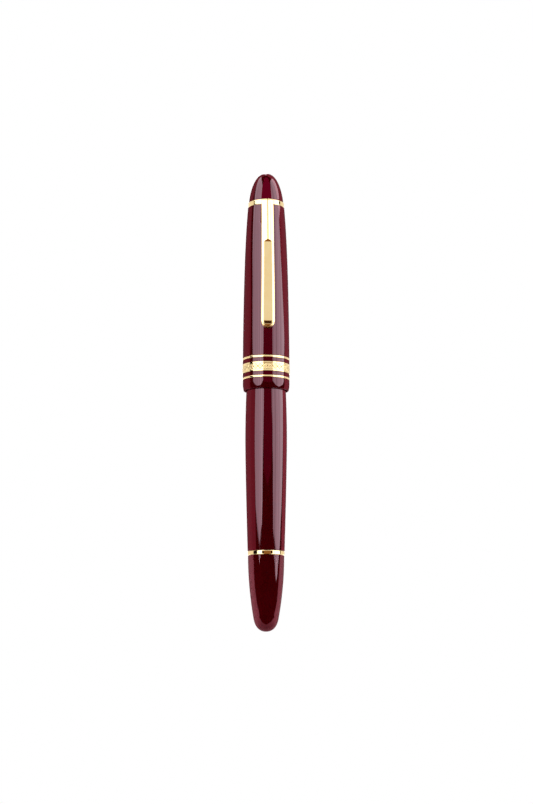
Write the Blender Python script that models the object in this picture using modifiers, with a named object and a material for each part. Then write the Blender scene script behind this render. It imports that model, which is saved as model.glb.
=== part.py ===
"""Piston-filling fountain pen with a screw cap and a sprung clip, built piece by piece.

The pen stands upright: +Z runs along its axis from the blind end to the cap's crown, the
origin is the tip of the blind end, and the clip faces -Y. Heights are measured up the
axis. Every size is in millimetres and becomes metres where a mesh is made.
"""
import math

import bmesh
import bpy
from mathutils import Vector

MM = 0.001
SEGMENTS = 24

# Gaps between neighbours
SEAM = 0.04            # pieces that are screwed, pressed or glued together
FREE = 0.09            # radial gap of pieces that turn or slide

# Heights of the pieces that stack up along the axis
PEN_LENGTH = 146.0
KNOB_TOP = 23.40
PISTON_RING = (23.49, 24.72)
BARREL_TOP = 82.40
WINDOW = (82.44, 88.00)
SECTION = (88.04, 102.00)
NIB_TIP = 124.0
LIP = (75.20, 78.54)
LOWER_RING = (78.58, 79.18)
CENTRE_BAND = (80.54, 83.42)
UPPER_RING = (84.84, 85.48)
CROWN_TOP = 134.50
CLIP_RING = (134.54, 136.12)
FINIAL_BASE = 136.16

# Outer radii
BARREL_FULLEST = (59.5, 6.565)      # height and radius of the barrel's belly
CAP_R = 7.38
TRIM_R = 7.46
BAND_R = 7.50
CLIP_RING_R = 5.76
FINIAL_R = 5.50
KNOB_R = 5.65
PISTON_RING_R = 5.78
SECTION_R = 5.66
GRIP_WAIST_R = 5.05
GRIP_LIP_R = 5.35

# Cap, inside
SPIGOT_R = 6.95        # the tube's foot, which carries the rings, spacers and lip
SPIGOT_FOOT = 77.0
BUSH_R = 6.44
BUSH = (78.40, 82.80)
LIP_BORE_R = 6.68
RIM_R = 6.97           # outer radius of the flat rim round the mouth
CAP_BORE_R = 5.90
CROWN_WALL = 131.4
INNER_CAP = (104.7, 130.3)
INNER_CAP_R = 5.60
INNER_CAP_BORE_R = 4.62
INNER_CAP_WALL = 0.95
STUD_R = 2.20

# Cap screw: four-start thread, shown as turned ribs
THREAD = (78.60, 82.20)
THREAD_PITCH = 0.90
THREAD_CREST_R = 5.94
THREAD_DEPTH = 0.20

# Filler
CHAMBER_R = 4.30
WINDOW_SPIGOT_R = 4.76
WINDOW_SPIGOT = 2.2
COLLAR_TOP = 36.0
COLLAR_R = 4.94
COLLAR_GUIDE = 27.0    # height where the collar's wide bore narrows to the flatted guide
NECK_R = 4.20
NECK_FOOT = 14.4
ROD = (12.5, 63.5)
ROD_R = 2.70
ROD_FLAT = 2.30        # half the distance across the rod's two flats
ROD_BORE_R = 1.78
ROD_BORE_TOP = 46.0
STEM_R = 1.90
STEM_TOP = 66.2
PISTON_TOP = 68.0
SPINDLE_TOP = 44.0
SPINDLE_FOOT = (6.3, 9.0)
SPINDLE_R = 1.50
SPINDLE_LOBE = 0.15
SPINDLE_LEAD = 6.25    # rod's rise and knob's fall in one turn
SPINDLE_STARTS = 3
FOOT_R = 2.90
INSERT = (15.0, 22.6)
INSERT_R = 4.70

# Nib unit
COLLAR_SLEEVE = (90.7, 101.7)
SLEEVE_R = 3.90
SLEEVE_BORE_R = 3.46
NIB_HEEL = 93.5
NIB_SHEET = 0.32
NIB_HOLE = (111.0, 0.55)            # height and radius of the breather hole
NIB_SLIT = 0.10
FEED_FOOT = 88.9
FEED_TOP = 119.0
FEED_R = 2.95
FEED_FINS = 8

# Clip
CLIP = (93.9, 136.08)
CLIP_PIVOT = (0.0, -6.0, 135.3)
CLIP_ROOT = (134.62, 0.10)          # lowest height and gap of the root block at the ring
CLIP_HALF_WIDTH = (2.00, 2.225)     # at the ring and near the end
CLIP_FACET = (0.875, 1.025)         # half widths of the flat centre facet
CLIP_STATIONS = 22

RESIN = ((0.054, 0.0, 0.0045, 1.0), 0.12, 0.0)
GOLD = ((0.87, 0.60, 0.27, 1.0), 0.16, 1.0)
BRASS = ((0.72, 0.50, 0.20, 1.0), 0.30, 1.0)
STEEL = ((0.62, 0.62, 0.64, 1.0), 0.25, 1.0)
SMOKE = ((0.25, 0.03, 0.04, 1.0), 0.08, 0.0)
BLACK = ((0.012, 0.012, 0.013, 1.0), 0.35, 0.0)
LINER = ((0.03, 0.03, 0.032, 1.0), 0.45, 0.0)
SEAL = ((0.80, 0.80, 0.78, 1.0), 0.40, 0.0)


def clear_scene():
    for obj in list(bpy.data.objects):
        bpy.data.objects.remove(obj, do_unlink=True)


def new_collection(name):
    group = bpy.data.collections.new(name)
    bpy.context.scene.collection.children.link(group)
    return group


def material(name, finish):
    colour, roughness, metallic = finish
    made = bpy.data.materials.new(name)
    made.use_nodes = True
    shader = made.node_tree.nodes["Principled BSDF"]
    shader.inputs["Base Color"].default_value = colour
    shader.inputs["Roughness"].default_value = roughness
    shader.inputs["Metallic"].default_value = metallic
    made.diffuse_color = colour
    return made


def axis_empty(name, point, parent=None):
    """An empty on a joint's axis, which carries the pieces that move together."""
    empty = bpy.data.objects.new(name, None)
    empty.empty_display_size = 0.004
    place(empty, point, parent)
    PEN.objects.link(empty)
    return empty


def place(obj, point, parent):
    """Put an object's origin at a point of the pen's frame, under its parent."""
    obj.parent = parent
    held = Vector(parent["at"]) if parent else Vector((0.0, 0.0, 0.0))
    obj["at"] = list(point)
    obj.location = (Vector(point) - held) * MM


def add_piece(name, mesh, finish, origin, parent, group=None):
    obj = bpy.data.objects.new(name, mesh)
    (group or PEN).objects.link(obj)
    place(obj, origin, parent)
    mesh.materials.append(material(name, finish))
    return obj


def mesh_from(name, verts, edges=(), faces=()):
    mesh = bpy.data.meshes.new(name)
    mesh.from_pydata([tuple(Vector(v) * MM) for v in verts], edges, faces)
    mesh.update()
    return mesh


def settle(obj):
    """Turn the object's modifiers into its mesh and mark the edges that stay crisp."""
    bpy.context.view_layer.update()
    seen = obj.evaluated_get(bpy.context.evaluated_depsgraph_get())
    mesh = bpy.data.meshes.new_from_object(seen)
    obj.modifiers.clear()
    obj.data = mesh
    mesh.shade_smooth()
    mesh.set_sharp_from_angle(angle=math.radians(28.0))
    return obj


def turned(name, outline, finish, parent=None, group=None):
    """Turn an outline of (radius, height) points round the pen's axis.

    The outline runs down the outside. It closes up the bore, or ends on the axis.
    """
    foot = min(height for _, height in outline)
    verts = [(radius, 0.0, height - foot) for radius, height in outline]
    edges = [(i, i + 1) for i in range(len(verts) - 1)]
    if outline[0][0] > 0.0:
        edges.append((len(verts) - 1, 0))
    obj = add_piece(name, mesh_from(name, verts, edges), finish, (0.0, 0.0, foot), parent, group)
    screw = obj.modifiers.new("turn", "SCREW")
    screw.steps = SEGMENTS
    screw.render_steps = SEGMENTS
    screw.use_merge_vertices = True
    screw.merge_threshold = 0.000001
    return settle(obj)


def lofted(name, rings, finish, origin, parent=None):
    """Skin a stack of rings, listed upwards with each one anticlockwise seen from above."""
    count = len(rings[0])
    verts = [Vector(point) - Vector(origin) for ring in rings for point in ring]
    faces = [tuple(reversed(range(count)))]
    for level in range(len(rings) - 1):
        low = level * count
        for i in range(count):
            j = (i + 1) % count
            faces.append((low + i, low + j, low + count + j, low + count + i))
    faces.append(tuple(range(len(verts) - count, len(verts))))
    obj = add_piece(name, mesh_from(name, verts, faces=faces), finish, origin, parent)
    obj.data.shade_smooth()
    obj.data.set_sharp_from_angle(angle=math.radians(28.0))
    return obj


def cut(obj, cutter, operation="DIFFERENCE"):
    cutter.hide_render = True
    cutter.display_type = "WIRE"
    boolean = obj.modifiers.new(operation.lower(), "BOOLEAN")
    boolean.operation = operation
    boolean.solver = "EXACT"
    boolean.object = cutter


def box_cutter(name, centre, size):
    bm = bmesh.new()
    bmesh.ops.create_cube(bm, size=1.0)
    bmesh.ops.scale(bm, vec=Vector(size) * MM, verts=bm.verts)
    mesh = bpy.data.meshes.new(name)
    bm.to_mesh(mesh)
    bm.free()
    return add_piece(name, mesh, BLACK, centre, None, CUTTERS)


def rod_cutter(name, radius, low, high, sides=SEGMENTS):
    """A round cutter along the axis."""
    bm = bmesh.new()
    bmesh.ops.create_cone(bm, cap_ends=True, segments=sides, radius1=radius * MM,
                          radius2=radius * MM, depth=(high - low) * MM)
    mesh = bpy.data.meshes.new(name)
    bm.to_mesh(mesh)
    bm.free()
    return add_piece(name, mesh, BLACK, (0.0, 0.0, (low + high) / 2.0), None, CUTTERS)


def steps(start, end, count):
    return [start + (end - start) * i / (count - 1) for i in range(count)]


def bezier(p0, p1, p2, p3, count):
    """Points of a cubic curve between two ends, each (radius, height)."""
    points = []
    for t in steps(0.0, 1.0, count):
        weights = ((1 - t) ** 3, 3 * t * (1 - t) ** 2, 3 * t * t * (1 - t), t ** 3)
        points.append(tuple(sum(w * p[k] for w, p in zip(weights, (p0, p1, p2, p3))) for k in (0, 1)))
    return points


def ring_outline(radius, bore, low, high, chamfer=0.0):
    return [
        (bore, high),
        (radius - chamfer, high),
        (radius, high - chamfer),
        (radius, low + chamfer),
        (radius - chamfer, low),
        (bore, low),
    ] if chamfer else [(bore, high), (radius, high), (radius, low), (bore, low)]


def ribs(radius, depth, low, high, pitch):
    """Thread ribs down a shaft of this crest radius; a negative depth makes them in a bore."""
    points = []
    count = int((high - low) / pitch)
    for i in range(count):
        top = high - i * pitch
        points.append((radius - depth, top))
        points.append((radius, top - pitch * 0.35))
        points.append((radius, top - pitch * 0.55))
    points.append((radius - depth, high - count * pitch))
    return points


def cap_radius(height):
    """The cap narrows slowly above its rings and faster near the crown."""
    rise = (height - UPPER_RING[1]) / (CROWN_TOP - UPPER_RING[1])
    return CAP_R - 1.0 * rise ** 1.5 - 0.54 * rise ** 5


def barrel_radius(height):
    """The barrel is fullest at its belly and finer towards the cap and the filler."""
    belly, radius = BARREL_FULLEST
    if height > belly:
        return radius - 0.00127 * (height - belly) ** 2
    return radius - 0.776 * ((belly - height) / 34.2) ** 1.35


def knob_radius(height):
    return KNOB_R - 0.0047 * (KNOB_TOP - height) ** 2


def lip_radius(height):
    """The cap's mouth rounds in towards its rim."""
    return CAP_R - 0.0187 * (LIP[1] - height) ** 2


# ---------------------------------------------------------------- barrel and nib unit

def make_barrel():
    shoulder = 78.0
    outside = [(barrel_radius(z), z) for z in steps(shoulder, PISTON_RING[1] + SEAM, 13)]
    outline = [(WINDOW_SPIGOT_R + SEAM, BARREL_TOP), (SECTION_R, BARREL_TOP)]
    outline += ribs(THREAD_CREST_R, THREAD_DEPTH, THREAD[0], THREAD[1], THREAD_PITCH)
    outline += [(THREAD_CREST_R - THREAD_DEPTH, shoulder + 0.2)]
    outline += outside
    outline += [
        (COLLAR_R + SEAM, PISTON_RING[1] + SEAM),
        (COLLAR_R + SEAM, COLLAR_TOP + SEAM),
        (CHAMBER_R, COLLAR_TOP + SEAM),
        (CHAMBER_R, BARREL_TOP - WINDOW_SPIGOT),
        (WINDOW_SPIGOT_R + SEAM, BARREL_TOP - WINDOW_SPIGOT),
    ]
    turned("barrel", outline, RESIN)


def make_ink_window():
    low, high = WINDOW
    spigot = WINDOW_SPIGOT - SEAM
    turned("ink_window", [
        (CHAMBER_R, high + spigot),
        (WINDOW_SPIGOT_R, high + spigot),
        (WINDOW_SPIGOT_R, high),
        (SECTION_R, high),
        (SECTION_R, low),
        (WINDOW_SPIGOT_R, low),
        (WINDOW_SPIGOT_R, low - spigot),
        (CHAMBER_R, low - spigot),
    ], SMOKE)


def make_section():
    low, high = SECTION
    bore = SLEEVE_R + SEAM
    outline = [(bore, high), (GRIP_LIP_R - 0.45, high)]
    outline += bezier((GRIP_LIP_R - 0.45, high), (GRIP_LIP_R + 0.2, high),
                      (GRIP_LIP_R, high - 1.8), (GRIP_WAIST_R, high - 3.6), 6)[1:]
    outline += bezier((GRIP_WAIST_R, high - 3.6), (GRIP_WAIST_R - 0.12, high - 5.4),
                      (SECTION_R, low + 4.0), (SECTION_R, low), 6)[1:]
    outline += [
        (WINDOW_SPIGOT_R + SEAM, low),
        (WINDOW_SPIGOT_R + SEAM, low + WINDOW_SPIGOT),
        (bore, low + WINDOW_SPIGOT),
    ]
    turned("section", outline, RESIN)


def make_feed_collar():
    low, high = COLLAR_SLEEVE
    turned("feed_collar", ring_outline(SLEEVE_R, SLEEVE_BORE_R, low, high), BLACK)


def feed_taper(height):
    """The feed's radius beyond the section, where it narrows under the nib."""
    run = max(0.0, (height - SECTION[1]) / (FEED_TOP - SECTION[1]))
    return FEED_R - 1.75 * run ** 1.2


def make_feed():
    """A finned feed: a turned, ribbed cone, cut flat on the side that meets the nib."""
    fins_low = SECTION[1] + 1.5
    pitch = (FEED_TOP - 3.0 - fins_low) / FEED_FINS
    outline = [(0.0, FEED_TOP), (feed_taper(FEED_TOP), FEED_TOP - 0.3)]
    for i in range(FEED_FINS):
        top = FEED_TOP - 3.0 - i * pitch
        crest = feed_taper(top)
        outline += [(crest, top), (crest - 0.5, top), (crest - 0.5, top - pitch * 0.45),
                    (crest, top - pitch * 0.45)]
    outline += [(FEED_R, fins_low), (FEED_R, FEED_FOOT), (0.0, FEED_FOOT)]
    feed = turned("feed", outline, BLACK)
    front = box_cutter("cut_feed_front", (0.0, -3.9, (FEED_TOP + NIB_HEEL) / 2.0),
                       (8.0, 4.0, FEED_TOP - NIB_HEEL + 4.0))
    cut(feed, front)
    channel = box_cutter("cut_feed_channel", (0.0, -2.0, FEED_TOP - 9.0), (0.4, 0.9, 22.0))
    cut(feed, channel)
    settle(feed)


def nib_half_width(height):
    """Parallel heel, wide shoulders, then a concave taper to the point."""
    shoulder = 105.5
    if height <= shoulder:
        swell = max(0.0, (height - 101.0) / (shoulder - 101.0))
        return 2.6 + 1.35 * swell * swell * (3.0 - 2.0 * swell)
    fall = (height - shoulder) / (NIB_TIP - 0.5 - shoulder)
    return 0.42 + 3.53 * (1.0 - fall) ** 1.25


def nib_crown(height):
    """Distance of the nib's centre line in front of the axis; the point dips to the axis."""
    run = max(0.0, (height - SECTION[1]) / (NIB_TIP - SECTION[1]))
    return 3.02 - 1.25 * run ** 1.6


def nib_arch(height):
    run = max(0.0, (height - SECTION[1]) / (NIB_TIP - SECTION[1]))
    return 3.0 + 2.2 * min(1.0, run * 2.5)


def make_nib():
    across = 9
    heights = steps(NIB_HEEL, NIB_TIP - 0.5, 22)
    verts = []
    for z in heights:
        width = nib_half_width(z)
        arch = nib_arch(z)
        for x in steps(-width, width, across + 1):
            drop = arch - math.sqrt(max(0.0, arch * arch - x * x))
            verts.append((x, -nib_crown(z) + drop, z - NIB_HEEL))
    faces = []
    row = across + 1
    for level in range(len(heights) - 1):
        for i in range(across):
            corner = level * row + i
            faces.append((corner, corner + 1, corner + row + 1, corner + row))
    nib = add_piece("nib", mesh_from("nib", verts, faces=faces), GOLD, (0.0, 0.0, NIB_HEEL), None)
    shell = nib.modifiers.new("sheet", "SOLIDIFY")
    shell.thickness = NIB_SHEET * MM
    shell.offset = 1.0
    hole_z, hole_r = NIB_HOLE
    hole = rod_cutter("cut_nib_hole", hole_r, -4.0, 4.0, 16)
    hole.rotation_euler = (math.pi / 2.0, 0.0, 0.0)
    place(hole, (0.0, -2.6, hole_z), None)
    cut(nib, hole)
    slit = box_cutter("cut_nib_slit", (0.0, -2.6, (hole_z + NIB_TIP + 1.0) / 2.0),
                      (NIB_SLIT, 4.0, NIB_TIP + 1.0 - hole_z))
    cut(nib, slit)
    settle(nib)


def make_nib_tip():
    """The hard writing point, a flattened ball at the end of the tines."""
    bm = bmesh.new()
    bmesh.ops.create_uvsphere(bm, u_segments=16, v_segments=10, radius=0.46 * MM)
    bmesh.ops.scale(bm, vec=(0.85, 1.0, 1.0), verts=bm.verts)
    mesh = bpy.data.meshes.new("nib_tip")
    bm.to_mesh(mesh)
    bm.free()
    mesh.shade_smooth()
    add_piece("nib_tip", mesh, STEEL, (0.0, 0.0 - nib_crown(NIB_TIP), NIB_TIP + 0.02), None)


# ---------------------------------------------------------------- piston filler

def flatted(radius, flat, height, count=24):
    """A circle with two flats, square to Y, as a ring of points at one height."""
    ring = []
    for i in range(count):
        angle = 2.0 * math.pi * i / count
        y = radius * math.sin(angle)
        if abs(y) > flat:
            y = math.copysign(flat, y)
        ring.append((radius * math.cos(angle), y, height))
    return ring


def make_piston_collar():
    """Brass collar in the barrel's foot, with a threaded neck and a flatted guide hole."""
    outline = [
        (0.0, COLLAR_TOP),
        (COLLAR_R, COLLAR_TOP),
        (COLLAR_R, PISTON_RING[1] + SEAM),
        (NECK_R, PISTON_RING[1] + SEAM),
        (NECK_R, INSERT[1]),
    ]
    outline += ribs(NECK_R, 0.14, NECK_FOOT + 0.4, INSERT[1] - 0.4, 1.25)
    outline += [
        (NECK_R - 0.14, NECK_FOOT),
        (ROD_R + 0.45, NECK_FOOT),
        (ROD_R + 0.45, COLLAR_GUIDE),
        (0.0, COLLAR_GUIDE),
    ]
    collar = turned("piston_collar", outline, BRASS)
    rings = [flatted(ROD_R + FREE, ROD_FLAT + FREE, z) for z in (COLLAR_GUIDE - 2.0, COLLAR_TOP + 2.0)]
    guide = lofted("cut_collar_guide", rings, BLACK, (0.0, 0.0, COLLAR_GUIDE))
    PEN.objects.unlink(guide)
    CUTTERS.objects.link(guide)
    cut(collar, guide)
    settle(collar)


def make_piston_ring():
    low, high = PISTON_RING
    turned("piston_ring", ring_outline(PISTON_RING_R, NECK_R + SEAM, low, high, 0.12), GOLD)


def make_piston_rod(parent):
    low, high = ROD
    rings = [flatted(ROD_R, ROD_FLAT, z) for z in (low, high)]
    stem = [[(x * STEM_R / ROD_R, y * STEM_R / ROD_R, z) for x, y, z in flatted(ROD_R, ROD_R, level)]
            for level in (high, STEM_TOP)]
    rod = lofted("piston_rod", rings + stem, SEAL, (0.0, 0.0, low), parent)
    cut(rod, rod_cutter("cut_rod_bore", ROD_BORE_R, low - 2.0, ROD_BORE_TOP))
    settle(rod)


def make_piston_head(parent):
    """Sealing plug with two lips, pressed on the rod's stem."""
    low = ROD[1] + SEAM
    lip = CHAMBER_R - FREE
    turned("piston_head", [
        (0.0, PISTON_TOP),
        (lip - 0.7, PISTON_TOP),
        (lip, PISTON_TOP - 0.5),
        (lip, PISTON_TOP - 1.3),
        (lip - 0.6, PISTON_TOP - 1.6),
        (lip - 0.6, low + 1.6),
        (lip, low + 1.3),
        (lip, low + 0.5),
        (lip - 0.7, low),
        (STEM_R + SEAM, low),
        (STEM_R + SEAM, STEM_TOP + SEAM),
        (0.0, STEM_TOP + SEAM),
    ], BLACK, parent)


def make_spindle(parent):
    """Quick-lead screw: a three-lobed section that twists as it rises, on a round foot."""
    low, shank = SPINDLE_FOOT
    count = 12

    def section(radius, lobe, height):
        twist = 2.0 * math.pi * (height - shank) / SPINDLE_LEAD
        ring = []
        for i in range(count):
            angle = 2.0 * math.pi * i / count
            reach = radius + lobe * math.cos(SPINDLE_STARTS * (angle - twist))
            ring.append((reach * math.cos(angle), reach * math.sin(angle), height))
        return ring

    rings = [section(FOOT_R, 0.0, low), section(FOOT_R, 0.0, shank - 0.6)]
    rings += [section(SPINDLE_R, 0.0, shank - 0.6), section(SPINDLE_R, 0.0, shank)]
    rings += [section(SPINDLE_R, SPINDLE_LOBE, z) for z in steps(ROD[0] + 1.0, SPINDLE_TOP, 38)]
    lofted("spindle", rings, STEEL, (0.0, 0.0, low), parent)


def make_knob(parent):
    """Blind cap that turns the filler: a tapered shell with a round end."""
    side_foot = 4.4
    side = [(knob_radius(z), z) for z in steps(KNOB_TOP - 0.12, side_foot, 9)]
    end = bezier(side[-1], (3.66, 2.2), (2.6, 0.0), (0.0, 0.0), 9)[1:]
    bore = INSERT_R + SEAM
    outline = [(bore, KNOB_TOP), (KNOB_R - 0.12, KNOB_TOP)] + side + end
    outline += [
        (0.0, SPINDLE_FOOT[0] - SEAM),
        (FOOT_R + SEAM, SPINDLE_FOOT[0] - SEAM),
        (FOOT_R + SEAM, NECK_FOOT - 0.4),
        (bore, NECK_FOOT - 0.4),
    ]
    turned("knob", outline, RESIN, parent)


def make_knob_insert(parent):
    """Threaded brass sleeve in the knob, which rides on the collar's neck."""
    low, high = INSERT
    turned("knob_insert", ring_outline(INSERT_R - FREE / 2.0, NECK_R + FREE, low, high), BRASS, parent)


# ---------------------------------------------------------------- cap

def make_cap_tube(parent):
    spigot_bore = BUSH_R + FREE
    shoulder = UPPER_RING[1] + SEAM
    outside = [(cap_radius(z), z) for z in steps(CROWN_TOP, shoulder, 15)]
    outline = [(STUD_R + SEAM, CROWN_TOP)] + outside
    outline += [
        (SPIGOT_R, shoulder),
        (SPIGOT_R, SPIGOT_FOOT),
        (spigot_bore, SPIGOT_FOOT),
        (spigot_bore, BUSH[1] + SEAM),
        (CAP_BORE_R + 0.1, BUSH[1] + 0.6),
        (CAP_BORE_R, INNER_CAP[0] - 0.6),
        (INNER_CAP_R + 0.12, INNER_CAP[0] - 0.2),
        (INNER_CAP_R + 0.12, 119.0),
        (4.9, INNER_CAP[1] + 0.2),
        (4.9, CROWN_WALL),
        (STUD_R + SEAM, CROWN_WALL),
    ]
    turned("cap_tube", outline, RESIN, parent)


def make_inner_cap(parent):
    """Liner that closes over the nib and stops the ink from drying."""
    low, high = INNER_CAP
    turned("inner_cap", [
        (0.0, high),
        (4.70, high),
        (INNER_CAP_R, 119.0),
        (INNER_CAP_R, low),
        (INNER_CAP_BORE_R, low),
        (INNER_CAP_BORE_R, 121.0),
        (3.9, high - INNER_CAP_WALL),
        (0.0, high - INNER_CAP_WALL),
    ], LINER, parent)


def make_cap_bush(parent):
    low, high = BUSH
    bore = THREAD_CREST_R + FREE
    inside = ribs(bore, -0.16, low + 0.4, high - 0.4, THREAD_PITCH)
    outline = [(bore + 0.16, high), (BUSH_R, high), (BUSH_R, low), (bore + 0.16, low)]
    turned("cap_bush", outline + list(reversed(inside)), BRASS, parent)


def make_cap_rings(parent):
    """Two thin trim rings, the wide centre band and the resin spacers between them."""
    bore = SPIGOT_R + SEAM
    turned("trim_ring_lower", ring_outline(TRIM_R, bore, *LOWER_RING, 0.08), GOLD, parent)
    turned("spacer_lower", ring_outline(CAP_R, bore, LOWER_RING[1] + SEAM, CENTRE_BAND[0] - SEAM),
           RESIN, parent)
    turned("centre_band", ring_outline(BAND_R, bore, *CENTRE_BAND, 0.10), GOLD, parent)
    turned("spacer_upper", ring_outline(CAP_R, bore, CENTRE_BAND[1] + SEAM, UPPER_RING[0] - SEAM),
           RESIN, parent)
    turned("trim_ring_upper", ring_outline(TRIM_R, bore, *UPPER_RING, 0.08), GOLD, parent)


def make_cap_lip(parent):
    """Mouth of the cap, with a flat annular rim."""
    low, high = LIP
    socket = SPIGOT_R + SEAM
    side = [(lip_radius(z), z) for z in steps(high, low + 0.25, 5)]
    edge = bezier(side[-1], (7.19, low + 0.08), (7.10, low), (RIM_R, low), 4)[1:]
    turned("cap_lip", [(socket, high)] + side + edge + [
        (LIP_BORE_R, low),
        (LIP_BORE_R, SPIGOT_FOOT - SEAM),
        (socket, SPIGOT_FOOT - SEAM),
    ], RESIN, parent)


def make_clip_ring(parent):
    turned("clip_ring", ring_outline(CLIP_RING_R, STUD_R + SEAM, *CLIP_RING, 0.10), GOLD, parent)


def make_finial_stud(parent):
    """Brass screw that pulls the finial and the clip ring down on the crown."""
    turned("finial_stud", [
        (0.0, 141.0),
        (STUD_R, 141.0),
        (STUD_R, CROWN_WALL - SEAM),
        (3.4, CROWN_WALL - SEAM),
        (3.4, CROWN_WALL - 0.75),
        (0.0, CROWN_WALL - 0.75),
    ], BRASS, parent)


def make_cap_finial(parent):
    """Domed top of the cap."""
    dome = []
    for t in steps(1.0, 0.0, 13):
        rise = t ** 0.6
        dome.append((FINIAL_R * max(0.0, 1.0 - rise ** 1.5) ** (1.0 / 2.4),
                     FINIAL_BASE + (PEN_LENGTH - FINIAL_BASE) * rise))
    outline = dome + [
        (STUD_R + SEAM, FINIAL_BASE),
        (STUD_R + SEAM, 141.0 + SEAM),
        (0.0, 141.0 + SEAM),
    ]
    turned("cap_finial", outline, RESIN, parent)


# ---------------------------------------------------------------- clip

def clip_front(down):
    """How far the clip's front stands before the axis, from its root (0) to its end (1)."""
    return 6.6 + 2.9 * (1.0 - (1.0 - down) ** 2.6)


def clip_gap(down):
    """Room between the clip's back and the cap, widest at mid-length."""
    return 0.15 + 0.85 * math.sin(math.pi * down ** 0.8)


def clip_section(height):
    """Ring of the clip at one height: flat back, straight sides, bevels and a centre facet."""
    low, high = CLIP
    down = (high - height) / (high - low)
    wide, facet = (a + (b - a) * down ** 1.3 for a, b in (CLIP_HALF_WIDTH, CLIP_FACET))
    front = clip_front(down)
    back = cap_radius(min(height, CROWN_TOP)) + clip_gap(down)
    if height >= CLIP_ROOT[0]:
        back = CLIP_RING_R + CLIP_ROOT[1]
    tip = max(0.0, (low + 1.6 - height) / 1.6)
    if tip > 0.0:
        curl = math.sqrt(max(0.0, 1.0 - tip * tip))
        wide *= 0.35 + 0.65 * curl
        facet *= 0.35 + 0.65 * curl
        front = back + 0.5 + (front - back - 0.5) * curl
    side = back + (front - back) * 0.45
    return [(-facet, -front, height), (facet, -front, height), (wide, -side, height),
            (wide, -back, height), (-wide, -back, height), (-wide, -side, height)]


def make_clip(parent):
    low, high = CLIP
    heights = steps(low, low + 1.6, 7) + steps(low + 3.0, CLIP_ROOT[0] - 0.02, CLIP_STATIONS)
    heights += [CLIP_ROOT[0], high]
    lofted("clip", [clip_section(z) for z in heights], GOLD, CLIP_PIVOT, parent)


def build():
    make_barrel()
    make_ink_window()
    make_section()
    make_feed_collar()
    make_feed()
    make_nib()
    make_nib_tip()
    make_piston_collar()
    make_piston_ring()
    piston = axis_empty("piston_axis", (0.0, 0.0, ROD[0]))
    make_piston_rod(piston)
    make_piston_head(piston)
    screw = axis_empty("filler_axis", (0.0, 0.0, 0.0))
    make_spindle(screw)
    make_knob(screw)
    make_knob_insert(screw)
    cap = axis_empty("cap_axis", (0.0, 0.0, LIP[0]))
    make_cap_tube(cap)
    make_inner_cap(cap)
    make_cap_bush(cap)
    make_cap_rings(cap)
    make_cap_lip(cap)
    make_clip_ring(cap)
    make_finial_stud(cap)
    make_cap_finial(cap)
    make_clip(axis_empty("clip_pivot", CLIP_PIVOT, cap))


clear_scene()
PEN = new_collection("fountain_pen")
CUTTERS = new_collection("cutters")
build()
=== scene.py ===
"""Piston-filling fountain pen: the fine pieces, their finishes, the studio and the camera.

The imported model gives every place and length. Profiles are in millimetres, as heights up
the pen's axis and radii from it, and become metres where a mesh is made.
"""
import math

import bmesh
import bpy
import numpy as np
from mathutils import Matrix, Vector


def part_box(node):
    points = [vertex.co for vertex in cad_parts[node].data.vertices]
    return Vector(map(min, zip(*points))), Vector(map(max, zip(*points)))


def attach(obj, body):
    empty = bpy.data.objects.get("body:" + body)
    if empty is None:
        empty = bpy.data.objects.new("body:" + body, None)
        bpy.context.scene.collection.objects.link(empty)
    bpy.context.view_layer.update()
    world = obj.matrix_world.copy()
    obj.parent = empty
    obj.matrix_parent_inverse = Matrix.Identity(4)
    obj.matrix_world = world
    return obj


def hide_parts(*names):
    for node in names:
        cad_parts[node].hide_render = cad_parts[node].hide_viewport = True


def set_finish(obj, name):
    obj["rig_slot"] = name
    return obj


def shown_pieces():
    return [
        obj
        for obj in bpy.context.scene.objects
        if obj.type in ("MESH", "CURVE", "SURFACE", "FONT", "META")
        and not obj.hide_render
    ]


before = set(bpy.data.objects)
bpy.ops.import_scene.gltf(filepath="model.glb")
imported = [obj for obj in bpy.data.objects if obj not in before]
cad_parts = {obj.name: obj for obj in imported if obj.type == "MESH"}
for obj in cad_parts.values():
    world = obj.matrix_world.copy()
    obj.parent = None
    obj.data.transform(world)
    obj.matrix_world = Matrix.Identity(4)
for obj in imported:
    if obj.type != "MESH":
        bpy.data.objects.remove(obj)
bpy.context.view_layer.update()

MM = 0.001
SEGMENTS = 192
EDGE = 0.06            # edge rounding of turned pieces
CORNER = math.radians(18.0)    # outlines that turn less than this aren't rounded there
CRISP = math.radians(34.0)     # faces that meet at more than this show an edge

SLACK = 0.04           # gap between pieces that are fixed together
PLAY = 0.09            # gap between pieces that turn or slide in each other
LEAD_CAP = 3.2         # cap thread: rise in one turn, and its starts
STARTS_CAP = 4
LEAD_NECK = 1.25


def span(node):
    """Lowest and highest height of a CAD node, in millimetres."""
    low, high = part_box(node)
    return low.z / MM, high.z / MM


def reach(node):
    """Largest radius of a turned CAD node, in millimetres."""
    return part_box(node)[1].x / MM


# ------------ shared profiles

PEN_TOP = span("cap_finial")[1]
KNOB_TOP = span("knob")[1]
KNOB_R = reach("knob")
BARREL_FOOT = span("barrel")[0]
BARREL_TOP = span("barrel")[1]
BELLY_Z = 59.5         # where the barrel is fullest
BELLY_R = reach("barrel")
BELLY_RUN = 34.2       # from there down to the barrel's foot
BARREL_FALL = 0.776    # radius lost on that run
SHOULDER = 78.0
SHOULDER_CURVE = 0.00127
KNOB_CURVE = 0.0047
CAP_FOOT = span("trim_ring_upper")[1]
CROWN_TOP = span("cap_tube")[1]
CAP_R = 7.38
CAP_FALL = (1.0, 0.54) # radius lost up to the crown: evenly, and near the crown only
LIP = span("cap_lip")
LIP_BEND = 77.37       # height below which the lip turns in
LIP_CURVE = 0.064
CHAMBER_R = 4.30


def steps(start, end, count):
    return np.linspace(start, end, count).tolist()


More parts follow.
